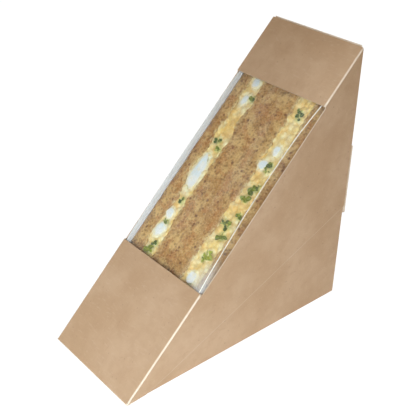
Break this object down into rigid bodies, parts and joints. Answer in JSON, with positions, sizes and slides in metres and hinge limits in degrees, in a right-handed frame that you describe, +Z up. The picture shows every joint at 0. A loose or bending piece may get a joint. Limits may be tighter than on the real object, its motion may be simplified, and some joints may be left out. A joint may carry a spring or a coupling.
{
  "type": "sandwich wedge pack",
  "caption": "Folded kraft board wedge with a clear film window and a tuck-in flap at the back, holding a cut egg and cress sandwich on malted bread.",
  "frame": {"origin": "centre of the pack's footprint, on the surface that it stands on", "axes": "+Z up, +Y from the sloping window panel to the closing flap, +X to the right seen from the window"},
  "size_m": [0.0528, 0.1234, 0.1232],
  "materials": {
    "kraft_board": "uncoated brown kraft board, matt, faintly mottled",
    "clear_film": "thin clear film, glossy",
    "malted_bread": "open malted brown crumb with darker grains",
    "egg_mayonnaise": "chopped egg in mayonnaise, moist, lumpy",
    "egg_white": "boiled egg white, moist",
    "cress": "fresh cress leaf"
  },
  "bodies": {
    "pack": {"carton": "kraft_board", "window_film": "clear_film", "bread_slice_1": "malted_bread", "bread_slice_2": "malted_bread", "bread_slice_3": "malted_bread", "bread_slice_4": "malted_bread", "egg_filling_1": "egg_mayonnaise", "egg_filling_2": "egg_mayonnaise", "egg_white_1": "egg_white", "egg_white_2": "egg_white", "egg_white_3": "egg_white", "egg_white_4": "egg_white", "egg_white_5": "egg_white", "egg_white_6": "egg_white", "egg_white_7": "egg_white", "egg_white_8": "egg_white"},
    "flap": {"closing_flap": "kraft_board"}
  },
  "joints": [
    {"name": "flap_crease", "type": "hinge", "parent": "pack", "child": "flap", "pos_m": [0, 0.06087, 0.12292], "axis": [1, 0, 0], "range_deg": [0, 150]}
  ]
}
